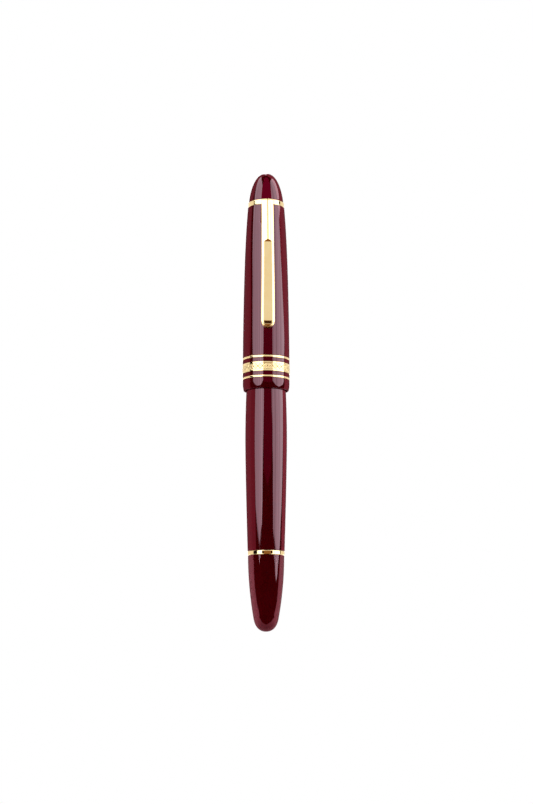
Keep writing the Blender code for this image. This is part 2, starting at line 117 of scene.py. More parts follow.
def smooth(low, high, value):
    t = np.clip((value - low) / (high - low), 0.0, 1.0)
    return t * t * (3.0 - 2.0 * t)


def bezier(p0, p1, p2, p3, count):
    t = np.linspace(0.0, 1.0, count)[:, None]
    curve = ((1 - t) ** 3 * np.array(p0) + 3 * t * (1 - t) ** 2 * np.array(p1)
             + 3 * t * t * (1 - t) * np.array(p2) + t ** 3 * np.array(p3))
    return [tuple(p) for p in curve]


def cap_radius(height):
    rise = max(0.0, (height - CAP_FOOT) / (CROWN_TOP - CAP_FOOT))
    return CAP_R - CAP_FALL[0] * rise ** 1.5 - CAP_FALL[1] * rise ** 5


def barrel_radius(height):
    if height > BELLY_Z:
        return BELLY_R - SHOULDER_CURVE * (height - BELLY_Z) ** 2
    return BELLY_R - BARREL_FALL * ((BELLY_Z - height) / BELLY_RUN) ** 1.35


def knob_radius(height):
    return KNOB_R - KNOB_CURVE * (KNOB_TOP - height) ** 2


def lip_radius(height):
    return CAP_R - LIP_CURVE * max(0.0, LIP_BEND - height) ** 2


# ------------ mesh helpers

def rounded(outline, closed, radius):
    """The outline with its corners rounded, and a support point on each side of them."""
    points = [Vector(p) for p in outline]
    count = len(points)
    made = []
    for i, here in enumerate(points):
        if here.x == 0.0 or (not closed and i in (0, count - 1)):
            made.append(tuple(here))
            continue
        before = points[i - 1] - here
        after = points[(i + 1) % count] - here
        if math.pi - before.angle(after, math.pi) < CORNER:
            made.append(tuple(here))
            continue
        cut = min(radius, 0.3 * before.length, 0.3 * after.length)
        start = here + before.normalized() * cut
        end = here + after.normalized() * cut
        made.append(tuple(start + before.normalized() * cut * 0.4))
        for t in (0.0, 0.25, 0.5, 0.75, 1.0):
            made.append(tuple((1 - t) ** 2 * start + 2 * t * (1 - t) * here + t * t * end))
        made.append(tuple(end + after.normalized() * cut * 0.4))
    return made


def new_object(name, data):
    obj = bpy.data.objects.new(name, data)
    bpy.context.scene.collection.objects.link(obj)
    return obj


def add_mesh(name, verts, faces, body, slot, node, finish=None, crisp=CRISP):
    """Make a piece of a mesh in millimetres, put it on its body and let it stand for its node.

    It gets the finish of its slot, unless finish names another.
    """
    mesh = bpy.data.meshes.new(name)
    mesh.from_pydata((np.asarray(verts, float) * MM).tolist(), [], faces)
    mesh.update()
    mesh.shade_smooth()
    mesh.set_sharp_from_angle(angle=crisp)
    mesh.materials.append(FINISH[finish or slot])
    obj = new_object(name, mesh)
    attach(obj, body)
    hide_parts(node)
    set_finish(obj, slot)
    return obj


def strips(levels, count, closed=False, first=0):
    """Faces between levels of count points each, numbered on from first."""
    faces = []
    for level in range(levels - 1):
        a = first + level * count
        for i in range(count if closed else count - 1):
            j = (i + 1) % count
            faces.append((a + i, a + j, a + count + j, a + count + i))
    return faces


def set_weights(obj, name, values):
    """Store one number per vertex for the finish to read."""
    layer = obj.data.attributes.new(name, "FLOAT", "POINT")
    layer.data.foreach_set("value", np.asarray(values, np.float32).ravel())


def turn(name, outline, body, slot, node, relief=None, finish=None, segments=SEGMENTS, edge=EDGE):
    """Lathe an outline of (radius, height) points, down the outside and then up the bore.

    relief(angle, radius, height) may give each point a new radius, for threads and flats.
    """
    closed = outline[0][0] > 0.0
    points = np.array(rounded(outline, closed, edge))
    angles = np.arange(segments) * (2.0 * math.pi / segments)
    angle, radius = np.meshgrid(angles, points[:, 0])
    height = np.repeat(points[:, 1:2], segments, axis=1)
    plain = radius
    if relief:
        radius = relief(angle, radius, height)
    verts = np.stack([radius * np.cos(angle), radius * np.sin(angle), height], axis=2)
    rows = []
    flat = []
    depth = []
    for i, point in enumerate(points):
        if point[0] < 1e-9:
            rows.append([len(flat)] * segments)
            flat.append((0.0, 0.0, point[1]))
            depth.append(0.0)
        else:
            rows.append(list(range(len(flat), len(flat) + segments)))
            flat.extend(verts[i].tolist())
            depth.extend(np.abs(plain[i] - radius[i]).tolist())
    faces = []
    pairs = list(zip(rows, rows[1:])) + ([(rows[-1], rows[0])] if closed else [])
    for upper, lower in pairs:
        for k in range(segments):
            j = (k + 1) % segments
            corners = [upper[k], lower[k], lower[j], upper[j]]
            face = tuple(dict.fromkeys(corners))
            if len(face) > 2:
                faces.append(face)
    obj = add_mesh(name, flat, faces, body, slot, node, finish)
    if relief:
        set_weights(obj, "depth", depth)
    return obj


def make_tube(name, node, bore, body, slot, edge=EDGE):
    """Plain ring or sleeve, as wide and as tall as its CAD node."""
    low, high = span(node)
    outer = reach(node)
    turn(name, [(bore, high), (outer, high), (outer, low), (bore, low)], body, slot, node, edge=edge)


def helix(low, high, lead, starts, depth, limit=0.0, inside=False):
    """Relief that cuts a right-hand thread between two heights, fading out at its ends.

    It cuts only what is outside the radius limit, or inside it where the thread is in a bore.
    """
    def relief(angle, radius, height):
        phase = (height / lead - angle / (2.0 * math.pi)) * starts
        wave = np.abs((phase % 1.0) * 2.0 - 1.0)
        groove = smooth(0.18, 0.82, wave)
        fade = smooth(low, low + 0.5, height) * (1.0 - smooth(high - 0.5, high, height))
        zone = (height > low) & (height < high) & ((radius < limit) if inside else (radius > limit))
        sign = -1.0 if inside else 1.0
        return np.where(zone, radius - sign * depth * (1.0 - (1.0 - groove) * fade), radius)
    return relief


# ------------ finishes

def link(source, target):
    source.id_data.links.new(source, target)


def add_node(tree, kind, inputs=None):
    """New shader node with some of its inputs set."""
    made = tree.nodes.new("ShaderNode" + kind)
    for name, value in (inputs or {}).items():
        made.inputs[name].default_value = value
    return made


def new_finish(name):
    made = bpy.data.materials.new(name)
    made.use_nodes = True
    return made, made.node_tree, made.node_tree.nodes["Principled BSDF"]


def noise_of(tree, scale, detail=3.0, stretch=(1.0, 1.0, 1.0), roughness=0.5):
    """Noise in the pen's own coordinates; scale is in features per millimetre."""
    place = add_node(tree, "TexCoord")
    mapping = add_node(tree, "Mapping", {"Scale": [scale * s / MM for s in stretch]})
    noise = add_node(tree, "TexNoise", {"Scale": 1.0, "Detail": detail, "Roughness": roughness})
    link(place.outputs["Object"], mapping.inputs["Vector"])
    link(mapping.outputs["Vector"], noise.inputs["Vector"])
    return noise.outputs["Fac"]


def ramp(value, first, second, start=0.3, end=0.75):
    """Blend from the first colour to the second as the value runs from start to end."""
    node = add_node(value.id_data, "ValToRGB")
    for element, position, colour in zip(node.color_ramp.elements, (start, end), (first, second)):
        element.position = position
        element.color = (*colour, 1.0)
    link(value, node.inputs["Fac"])
    return node.outputs["Color"]


def remap(value, low, high, from_low=0.3, from_high=0.7):
    node = add_node(value.id_data, "MapRange",
                    {"From Min": from_low, "From Max": from_high, "To Min": low, "To Max": high})
    link(value, node.inputs["Value"])
    return node.outputs["Result"]


def attribute(tree, name):
    node = add_node(tree, "Attribute")
    node.attribute_name = name
    return node.outputs["Fac"]


def combine(operation, first, second):
    """Result of a sum on two values."""
    node = add_node(first.id_data, "Math")
    node.operation = operation
    link(first, node.inputs[0])
    link(second, node.inputs[1])
    return node.outputs["Value"]


def mix(factor, first, second):
    """Blend two colours; either may be a socket."""
    node = add_node(factor.id_data, "Mix")
    node.data_type = "RGBA"
    link(factor, node.inputs["Factor"])
    for target, colour in zip([s for s in node.inputs if s.type == "RGBA"], (first, second)):
        if isinstance(colour, tuple):
            target.default_value = (*colour, 1.0)
        else:
            link(colour, target)
    return [s for s in node.outputs if s.type == "RGBA"][0]


def dress(shader, colour, roughness, grain, relief, metallic=0.0):
    """Give a shader its colour and roughness, and grain as a relief some micrometres deep."""
    node = add_node(grain.id_data, "Bump", {"Strength": 1.0, "Distance": relief * MM})
    link(grain, node.inputs["Height"])
    link(node.outputs["Normal"], shader.inputs["Normal"])
    link(colour, shader.inputs["Base Color"])
    link(roughness, shader.inputs["Roughness"])
    shader.inputs["Metallic"].default_value = metallic


def resin_finish():
    """Polished cast resin: faint clouds in the colour, turning marks and hairline wear."""
    made, tree, shader = new_finish("burgundy_resin")
    clouds = noise_of(tree, 0.35, 4.0, (1.0, 1.0, 0.45))
    wear = noise_of(tree, 2.5, 5.0, (1.0, 1.0, 0.12), 0.65)
    turning = noise_of(tree, 1.2, 2.0, (1.0, 1.0, 0.25))
    colour = ramp(clouds, (0.041, 0.0, 0.0004), (0.051, 0.0, 0.0012), 0.30, 0.72)
    dress(shader, colour, remap(wear, 0.018, 0.05), turning, 0.0010)
    shader.inputs["IOR"].default_value = 1.5
    shader.inputs["Specular IOR Level"].default_value = 1.0
    shader.inputs["Specular Tint"].default_value = (1.0, 0.60, 0.72, 1.0)
    return made


def metal_finish(name, colour, worn, low, high, stretch=(1.0, 1.0, 1.0), relief=0.0015, scale=3.0):
    """Polished or machined metal: colour drift, hairlines and a roughness that varies."""
    made, tree, shader = new_finish(name)
    hair = noise_of(tree, scale, 6.0, stretch, 0.7)
    dress(shader, ramp(noise_of(tree, 0.5), colour, worn), remap(hair, low, high), hair, relief, 1.0)
    return made


def engraved_finish(name, colour, worn, painted_recess_shade):
    """Polished gold with slightly rough recesses that are painted dark, as painted shade."""
    made, tree, shader = new_finish(name)
    depth = remap(attribute(tree, "depth"), 0.0, 1.0, 0.010, 0.055)
    plain = ramp(noise_of(tree, 0.5), colour, worn)
    dress(shader, mix(depth, plain, painted_recess_shade), remap(depth, 0.07, 0.34, 0.0, 1.0), noise_of(tree, 4.0, 5.0),
          0.0012, 1.0)
    return made


def plastic_finish(name, dark, light, low, high):
    """Moulded or machined plastic with a fine grain."""
    made, tree, shader = new_finish(name)
    grain = noise_of(tree, 2.0, 5.0, roughness=0.6)
    dress(shader, ramp(grain, dark, light, 0.3, 0.7), remap(grain, low, high), grain, 0.004)
    return made


def window_finish():
    """Smoked clear resin with upright bars, for the ink window."""
    made, tree, shader = new_finish("smoked_window")
    bars = remap(attribute(tree, "bars"), 0.0, 1.0, 0.35, 0.65)
    link(mix(bars, (0.62, 0.20, 0.10), (0.030, 0.002, 0.004)), shader.inputs["Base Color"])
    link(remap(bars, 0.85, 0.05, 0.0, 1.0), shader.inputs["Transmission Weight"])
    link(remap(noise_of(tree, 2.0), 0.02, 0.06), shader.inputs["Roughness"])
    return made


def nib_finish(gold, gold_worn):
    """Two-tone nib: a bright plated centre inside a gold border, engraved lines painted dark as painted
    shade.
    """
    made, tree, shader = new_finish("two_tone_nib")
    border = ramp(noise_of(tree, 0.6), gold, gold_worn)
    tone = mix(attribute(tree, "plating"), border, (0.80, 0.80, 0.82))
    hair = noise_of(tree, 3.0, 6.0, (1.0, 1.0, 0.08), 0.7)
    # painted shade: the engraved lines are cut shallow and also painted dark brown
    dress(shader, mix(attribute(tree, "groove"), tone, (0.10, 0.07, 0.03)), remap(hair, 0.06, 0.16), hair,
          0.0015, 1.0)
    return made


GOLD = (1.0, 0.78, 0.40)
GOLD_WORN = (0.97, 0.72, 0.34)
TURNED = {"stretch": (0.15, 0.15, 4.0), "relief": 0.004, "scale": 4.0}
FINISH = {
    "resin": resin_finish(),
    "gold_trim": metal_finish("polished_gold", GOLD, GOLD_WORN, 0.03, 0.07),
    # the last colour of this gold is painted shade for recesses, the clip's grooves and the clip's back
    "gold_shaded_recesses": engraved_finish("gold_with_painted_recess_shade", GOLD, GOLD_WORN, (0.10, 0.045, 0.012)),
    "gold_nib": nib_finish(GOLD, GOLD_WORN),
    "brass": metal_finish("turned_brass", (0.80, 0.58, 0.27), (0.66, 0.45, 0.19), 0.16, 0.34, **TURNED),
    "steel": metal_finish("turned_steel", (0.62, 0.62, 0.64), (0.50, 0.50, 0.52), 0.18, 0.34, **TURNED),
    "hard_tip": metal_finish("hard_tip_metal", (0.78, 0.78, 0.80), (0.66, 0.66, 0.70), 0.10, 0.22),
    "window": window_finish(),
    "feed_black": plastic_finish("black_feed", (0.010, 0.010, 0.011), (0.022, 0.021, 0.021), 0.28, 0.45),
    "liner": plastic_finish("black_liner", (0.014, 0.014, 0.015), (0.026, 0.026, 0.027), 0.35, 0.5),
    "rod_white": plastic_finish("ivory_rod", (0.62, 0.60, 0.54), (0.72, 0.70, 0.64), 0.30, 0.45),
    "seal": plastic_finish("dark_seal", (0.012, 0.012, 0.013), (0.03, 0.03, 0.03), 0.35, 0.55),
}


# ------------ barrel, grip and nib unit

THREAD = (78.6, 82.2)
THREAD_R = 5.94
THREAD_DEPTH = 0.20
SECTION_R = reach("section")
WINDOW_SPIGOT_R = 4.76
SPIGOT_BORE = WINDOW_SPIGOT_R + SLACK
WINDOW_BARS = 16
SLEEVE_R = reach("feed_collar")


def make_barrel():
    low, high = THREAD
    root = THREAD_R - THREAD_DEPTH
    window_seat = 80.2
    collar_bore = 4.98
    collar_top = 36.04
    outline = [(SPIGOT_BORE, BARREL_TOP), (SECTION_R, BARREL_TOP), (root, high + 0.05)]
    outline += [(THREAD_R, z) for z in steps(high - 0.01, low + 0.01, 74)]
    outline += [(root, low - 0.05), (root, SHOULDER + 0.2)]
    outline += [(barrel_radius(z), z) for z in steps(SHOULDER, BARREL_FOOT, 60)]
    outline += [(collar_bore, BARREL_FOOT), (collar_bore, collar_top), (CHAMBER_R, collar_top),
                (CHAMBER_R, window_seat), (SPIGOT_BORE, window_seat)]
    thread = helix(low, high, LEAD_CAP, STARTS_CAP, THREAD_DEPTH, SECTION_R - 0.1)
    turn("barrel_shell", outline, "barrel", "resin", "barrel", thread)


def make_ink_window():
    low, high = span("ink_window")
    ledge = 2.16
    base, top = low + ledge, high - ledge
    outline = [(CHAMBER_R, high), (WINDOW_SPIGOT_R, high), (WINDOW_SPIGOT_R, top), (SECTION_R, top),
               (SECTION_R, base), (WINDOW_SPIGOT_R, base), (WINDOW_SPIGOT_R, low), (CHAMBER_R, low)]
    window = turn("ink_window_ring", outline, "barrel", "window", "ink_window")
    co = np.array([v.co for v in window.data.vertices])
    angle = np.arctan2(co[:, 1], co[:, 0])
    set_weights(window, "bars", 0.5 + 0.5 * np.sin(angle * WINDOW_BARS))


def make_section():
    low, high = span("section")
    waist = 5.05
    mouth = 5.35
    neck = (waist, high - 3.6)
    face = (mouth - 0.45, high)
    ledge = low + 2.2
    bore = SLEEVE_R + SLACK
    outline = [(bore, high), face]
    outline += bezier(face, (mouth + 0.2, high), (mouth, high - 1.8), neck, 24)[1:]
    outline += bezier(neck, (waist - 0.12, high - 5.4), (SECTION_R, low + 4.0), (SECTION_R, low), 28)[1:]
    outline += [(SPIGOT_BORE, low), (SPIGOT_BORE, ledge), (bore, ledge)]
    turn("grip_section", outline, "barrel", "resin", "section")


def make_feed():
    """Finned feed, cut flat under the nib, with its ink channel."""
    foot, top = span("feed")
    mouth = span("section")[1]
    stem = 2.95
    flat = 1.9         # height of the cut under the nib over the axis
    channel_half, channel_floor = 0.22, 1.5
    fins, fin_depth = 11, 0.55
    fins_low = mouth + 1.0
    fins_high = top - 4.0
    pitch = (fins_high - fins_low) / fins

    def taper(height):
        run = max(0.0, (height - mouth) / (top - mouth))
        return stem - 1.75 * run ** 1.2

    outline = [(0.0, top), (taper(top) * 0.6, top - 0.05), (taper(top), top - 0.5)]
    outline += [(taper(z), z) for z in steps(top - 1.0, fins_high + 0.3, 6)]
    for i in range(fins):
        upper = fins_high - i * pitch
        lower = upper - pitch * 0.5
        crest = taper(upper)
        valley = crest - fin_depth
        outline += [(crest, upper), (valley, upper - 0.05), (valley, lower), (crest, lower - 0.05)]
    outline += [(stem, fins_low - 0.3), (stem, foot), (0.0, foot)]

    def relief(angle, radius, height):
        front = -np.sin(angle)
        cut = np.where(front > 0.05, flat / np.maximum(front, 0.05), 99.0)
        channel = (np.abs(radius * np.cos(angle)) < channel_half) & (front > 0.5) & (height > mouth - 4.0)
        return np.minimum(radius, np.where(channel, np.minimum(cut, channel_floor), cut))

    turn("finned_feed", outline, "barrel", "feed_black", "feed", relief, edge=0.03)


def make_nib():
    """Arched nib sheet with engraved border lines, a breather hole and a slit to the point."""
    heel = span("nib")[0]
    mouth = span("section")[1]
    tip = span("nib")[1] + 0.5
    point = tip - 0.5
    shoulder = 105.5
    across, along = 96, 150
    sheet = 0.32
    hole_z, hole_r = 111.0, 0.55
    line_low, line_high = 103.4, 118.5
    line_depth = 0.045
    lines = ((0.62, 0.07), (0.92, 0.05))       # how far in from the edge, and how wide

    def half_width(z):
        if z <= shoulder:
            return 2.6 + 1.35 * smooth(101.0, shoulder, z)
        return 0.42 + 3.53 * max(0.0, 1.0 - (z - shoulder) / (point - shoulder)) ** 1.25

    rows = steps(heel, point, along)
    across_at = np.linspace(-1.0, 1.0, across + 1)
    verts, plating, groove = [], [], []
    for side in (0.0, sheet):
        for z in rows:
            run = max(0.0, (z - mouth) / (tip - mouth))
            crown = 3.02 - 1.25 * run ** 1.6 + side
            arch = 3.0 + 2.2 * min(1.0, run * 2.5) + side
            width = half_width(z)
            for u in across_at:
                x = u * width * (1.0 + side * 0.05)
                drop = arch - math.sqrt(max(0.0, arch * arch - x * x))
                inset = (1.0 - abs(u)) * width
                line = sum(math.exp(-((inset - at) / fine) ** 2) for at, fine in lines)
                end = math.exp(-((z - line_low) / 0.08) ** 2) if inset > lines[0][0] else 0.0
                cut = min(1.0, (line if line_low < z < line_high else 0.0) + end) if side else 0.0
                verts.append((x, drop - crown + line_depth * cut, z))
                groove.append(cut)
                inside = smooth(0.90, 0.96, inset) * smooth(line_low, line_low + 0.2, z)
                inside *= 1.0 - smooth(line_high - 0.9, line_high - 0.1, z)
                plating.append(inside if side else 0.0)
    row = across + 1
    layer = row * along
    faces = [face[::-1] for face in strips(along, row)] + strips(along, row, first=layer)
    for a in range(0, layer - row, row):
        b = a + across
        faces.append((a, layer + a, layer + a + row, a + row))
        faces.append((b + row, layer + b + row, layer + b, b))
    for i in range(across):
        a = (along - 1) * row + i
        faces.append((i, i + 1, layer + i + 1, layer + i))
        faces.append((a, layer + a, layer + a + 1, a + 1))
    nib = add_mesh("nib_sheet", verts, faces, "barrel", "gold_nib", "nib")
    set_weights(nib, "plating", plating)
    set_weights(nib, "groove", groove)
    slit = tip + 1.0 - hole_z
    bpy.ops.mesh.primitive_cylinder_add(vertices=48, radius=hole_r * MM, depth=4.0 * MM,
                                        rotation=(math.pi / 2.0, 0.0, 0.0))
    cut_away(nib, hole_z)
    bpy.ops.mesh.primitive_cube_add(size=1.0)
    bpy.context.object.scale = Vector((0.07, 4.0, slit)) * MM
    cut_away(nib, hole_z + slit / 2.0)


def cut_away(obj, height):
    """Cut the solid made last out of the nib's sheet, at one height, and remove that solid."""
    cutter = bpy.context.object
    cutter.location = Vector((0.0, -2.6, height)) * MM
    modifier = obj.modifiers.new("cut", "BOOLEAN")
    modifier.operation = "DIFFERENCE"
    modifier.solver = "EXACT"
    modifier.object = cutter
    bpy.context.view_layer.update()
    seen = obj.evaluated_get(bpy.context.evaluated_depsgraph_get())
    mesh = bpy.data.meshes.new_from_object(seen)
    obj.modifiers.clear()
    obj.data = mesh
    mesh.set_sharp_from_angle(angle=CRISP)
    bpy.data.objects.remove(cutter, do_unlink=True)


def make_nib_tip():
    """Hard writing point: a rounded pellet, flattened on its writing side."""
    low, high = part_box("nib_tip")
    centre = (low + high) / 2.0 / MM
    size = (high - low) / 2.0 / MM
    ball = bmesh.new()
    bmesh.ops.create_uvsphere(ball, u_segments=32, v_segments=24, radius=1.0)
    verts = [(centre.x + size.x * v.co.x, centre.y + size.y * min(v.co.y, 0.8), centre.z + size.z * v.co.z)
             for v in ball.verts]
    faces = [[v.index for v in face.verts] for face in ball.faces]
    ball.free()
    add_mesh("writing_point", verts, faces, "barrel", "hard_tip", "nib_tip")


# ------------ filler

NECK_R = 4.20
ROD_R = 2.70
ROD_FLAT = 2.30
PEG_R = 1.90           # peg of the rod that carries the piston's head
PEG_TOP = 66.2
SPINDLE_LEAD = 6.25
SPINDLE_FOOT_R = 2.90


def flats(radius_limit, flat):
    """Relief that flattens a round rod or hole of at most this radius on its two Y sides."""
    def relief(angle, radius, height):
        side = np.maximum(np.abs(np.sin(angle)), 1e-6)
        return np.where(radius <= radius_limit, np.minimum(radius, flat / side), radius)
    return relief


def make_piston_collar():
    low, high = span("piston_collar")
    outer = reach("piston_collar")
    thread = (low + 0.4, 22.2)
    bore = ROD_R + PLAY
    wide_bore = ROD_R + 0.45
    guide = 27.0
    depth = 0.14
    outline = [(bore, high), (outer, high), (outer, BARREL_FOOT), (NECK_R, BARREL_FOOT), (NECK_R, 22.6)]
    outline += [(NECK_R, z) for z in steps(thread[1] - 0.01, thread[0] + 0.01, 110)]
    outline += [(NECK_R - depth, low), (wide_bore, low), (wide_bore, guide), (bore, guide)]
    cut = helix(*thread, LEAD_NECK, 1, depth)
    hole = flats(ROD_R + 0.1, ROD_FLAT + PLAY)

    def relief(angle, radius, height):
        return np.where(radius > 4.1, cut(angle, radius, height), hole(angle, radius, height))

    turn("filler_collar", outline, "barrel", "brass", "piston_collar", relief)


def make_piston_rod():
    low = span("piston_rod")[0]
    head = 63.5
    bore, bore_top = 1.78, 46.0
    outline = [(0.0, PEG_TOP), (PEG_R, PEG_TOP), (PEG_R, head), (ROD_R, head)]
    outline += [(ROD_R, z) for z in steps(head - 0.5, low + 0.5, 4)]
    outline += [(ROD_R, low), (bore, low), (bore, bore_top), (0.0, bore_top)]

    def relief(angle, radius, height):
        return np.where(height < head + 0.01, flats(99.0, ROD_FLAT)(angle, radius, height), radius)

    turn("piston_shaft", outline, "piston", "rod_white", "piston_rod", relief)


def make_piston_head():
    low, top = span("piston_head")
    lip = reach("piston_head")
    outline = [(0.0, top), (lip - 0.7, top), (lip, top - 0.5), (lip, top - 1.3), (lip - 0.6, top - 1.6),
               (lip - 0.6, low + 1.6), (lip, low + 1.3), (lip, low + 0.5), (lip - 0.7, low),
               (PEG_R + SLACK, low), (PEG_R + SLACK, PEG_TOP + SLACK), (0.0, PEG_TOP + SLACK)]
    turn("piston_plug", outline, "piston", "seal", "piston_head", edge=0.12)


def make_spindle():
    foot, top = span("spindle")
    shank = 9.0
    shoulder = shank - 0.6
    outline = [(0.0, top)] + [(1.5, z) for z in steps(top, shoulder, 90)]
    outline += [(SPINDLE_FOOT_R, shoulder), (SPINDLE_FOOT_R, foot), (0.0, foot)]

    def relief(angle, radius, height):
        twist = 2.0 * math.pi * (height - shank) / SPINDLE_LEAD
        lobe = 0.15 * np.cos(3.0 * (angle - twist)) * smooth(12.5, 13.5, height)
        return np.where(radius < 2.0, radius + lobe, radius)

    turn("quick_screw", outline, "knob", "steel", "spindle", relief)


def make_knob():
    """Blind cap: a tapered shell with a round end, bored for the filler."""
    bore = reach("knob_insert") + 0.085
    side = [(knob_radius(z), z) for z in steps(KNOB_TOP - 0.02, 4.4, 48)]
    end = bezier(side[-1], (3.66, 2.2), (2.6, 0.0), (0.0, 0.0), 40)[1:]
    socket = SPINDLE_FOOT_R + SLACK
    socket_foot, socket_top = 6.26, 14.0
    inner = [(0.0, socket_foot), (socket, socket_foot), (socket, socket_top), (bore, socket_top),
             (bore, KNOB_TOP)]
    turn("blind_cap", [(knob_radius(KNOB_TOP), KNOB_TOP)] + side + end + inner, "knob", "resin", "knob")


def make_knob_insert():
    low, high = span("knob_insert")
    outer = reach("knob_insert")
    bore = NECK_R + PLAY
    outline = [(bore, high), (outer, high), (outer, low), (bore, low)]
    outline += [(bore, z) for z in steps(low + 0.1, high - 0.1, 100)]
    thread = helix(low, high, LEAD_NECK, 1, 0.12, bore + 0.05, inside=True)
    turn("knob_thread_sleeve", outline, "knob_carriage", "brass", "knob_insert", thread)


# ------------ cap

SPIGOT_R = 6.95
BUSH_R = 6.44
INNER_CAP_R = 5.60
INNER_CAP_NECK = 119.0 # height above which the liner narrows
STUD_BORE = 2.24


def make_cap_tube():
    bush_top = span("cap_bush")[1]
    liner_low, liner_high = span("inner_cap")
    foot = span("cap_tube")[0]
    ledge = CAP_FOOT + SLACK
    mouth = BUSH_R + PLAY
    seat = INNER_CAP_R + 0.12
    blind = (4.9, 131.4)
    outline = [(STUD_BORE, CROWN_TOP)] + [(cap_radius(z), z) for z in steps(CROWN_TOP, ledge, 70)]
    outline += [(SPIGOT_R, ledge), (SPIGOT_R, foot), (mouth, foot), (mouth, bush_top + SLACK),
                (6.0, bush_top + 0.6), (5.9, liner_low - 0.6), (seat, liner_low - 0.2),
                (seat, INNER_CAP_NECK), (blind[0], liner_high + 0.2), blind, (STUD_BORE, blind[1])]
    turn("cap_shell", outline, "cap", "resin", "cap_tube")


def make_inner_cap():
    low, high = span("inner_cap")
    bore = 4.62
    ceiling = high - 0.95
    outline = [(0.0, high), (4.70, high), (INNER_CAP_R, INNER_CAP_NECK), (INNER_CAP_R, low), (bore, low),
               (bore, INNER_CAP_NECK + 2.0), (3.9, ceiling), (0.0, ceiling)]
    turn("cap_liner", outline, "cap_carriage", "liner", "inner_cap")


def make_cap_bush():
    low, high = span("cap_bush")
    bore = THREAD_R + PLAY
    outline = [(bore + 0.16, high), (BUSH_R, high), (BUSH_R, low), (bore + 0.16, low)]
    outline += [(bore, z) for z in steps(low + 0.05, high - 0.05, 88)]
    thread = helix(low, high, LEAD_CAP, STARTS_CAP, 0.16, bore + 0.1, inside=True)
    turn("cap_thread_bush", outline, "cap_screw_carrier", "brass", "cap_bush", thread)


def make_centre_band():
    """Wide band with two plain borders and a row of engraved lozenges with beads between."""
    low, high = span("centre_band")
    middle = (low + high) / 2.0
    half = (high - low) / 2.0
    repeats = 30
    rim = reach("centre_band")
    bore = SPIGOT_R + SLACK
    outline = [(bore, high)] + [(rim, z) for z in steps(high, low, 64)] + [(bore, low)]

    def relief(angle, radius, height):
        v = (height - middle) / half
        turn_by = (angle + math.pi / 2.0) / (2.0 * math.pi) * repeats
        u = np.abs((turn_by % 1.0) * 2.0 - 1.0)
        border = smooth(0.035, 0.0, np.abs(np.abs(v) - 0.66))
        lozenge = smooth(0.10, 0.0, np.abs(u + np.abs(v) / 0.50 - 1.0) * 0.5)
        kernel = smooth(0.0, 0.06, 0.34 - (u + np.abs(v) / 0.42))
        bead = smooth(0.05, -0.05, np.hypot((1.0 - u) * 0.62, v) - 0.16) * 0.9
        inside = (np.abs(v) < 0.6).astype(float)
        depth = 0.055 * np.maximum(border, inside * np.maximum.reduce([lozenge, kernel * 0.7, bead]))
        return np.where(radius > rim - 0.02, radius - depth, radius)

    # the finish paints the band's cut recesses dark, as painted shade
    turn("engraved_band", outline, "cap", "gold_trim", "centre_band", relief, finish="gold_shaded_recesses",
         segments=960, edge=0.10)


def make_cap_lip():
    low, high = LIP
    side = [(lip_radius(z), z) for z in steps(high, low + 0.25, 24)]
    edge = bezier(side[-1], (side[-1][0] - 0.03, low + 0.08), (7.04, low), (6.94, low), 10)[1:]
    outline = [(6.99, high)] + side + edge + [(6.68, low), (6.68, 76.96), (6.99, 76.96)]
    turn("cap_mouth", outline, "cap", "resin", "cap_lip", edge=0.05)


def make_finial():
    base = span("cap_finial")[0]
    radius = reach("cap_finial")
    rise = [t ** 1.5 for t in steps(1.0, 0.0, 70)]
    dome = [(radius * max(0.0, 1.0 - s ** 1.5) ** (1.0 / 2.4), base + (PEN_TOP - base) * s) for s in rise]
    stud_top = span("finial_stud")[1] + SLACK
    outline = dome + [(STUD_BORE, base), (STUD_BORE, stud_top), (0.0, stud_top)]
    turn("crown_dome", outline, "cap", "resin", "cap_finial", edge=0.05)


def make_stud():
    """The hidden crown screw keeps its CAD shape and takes the brass finish."""
    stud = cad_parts["finial_stud"]
    stud.data.materials.clear()
    stud.data.materials.append(FINISH["brass"])


# ------------ clip

CLIP_LOW, CLIP_HIGH = span("clip")
CLIP_RING_R = reach("clip_ring")
FACET_TOP = 122.4
FACET_RUN = 0.9
END_RUN = 2.35         # length of the clip's round end
ROOF = 0.50            # slope of the clip's two flanks
RIDGE_SOFT = 0.60      # rounding of the ridge between them
EDGE_SOFT = 0.16
CLIP_HALF = (1.87, 0.30)   # half width at the root, and what it gains by the foot
FACET_HALF = (1.18, 0.27)
CLIP_FRONT = (6.6, 2.9)    # how far out its front is at the root, and what it gains
CLIP_GAP = (0.15, 0.85)    # gap between cap and clip at its ends, and what it gains midway
CLIP_ROOT = (134.2, 134.9) # heights between which its back leaves the cap for the ring
BACK_POINTS = 11       # points of a section that aren't on its front
EDGE_POINTS = 6        # and how many of those are still on its edge
GROOVE = 0.10
PAINTED_SHADE_DEPTH = 0.06      # depth value at which the finish is fully dark: painted shade
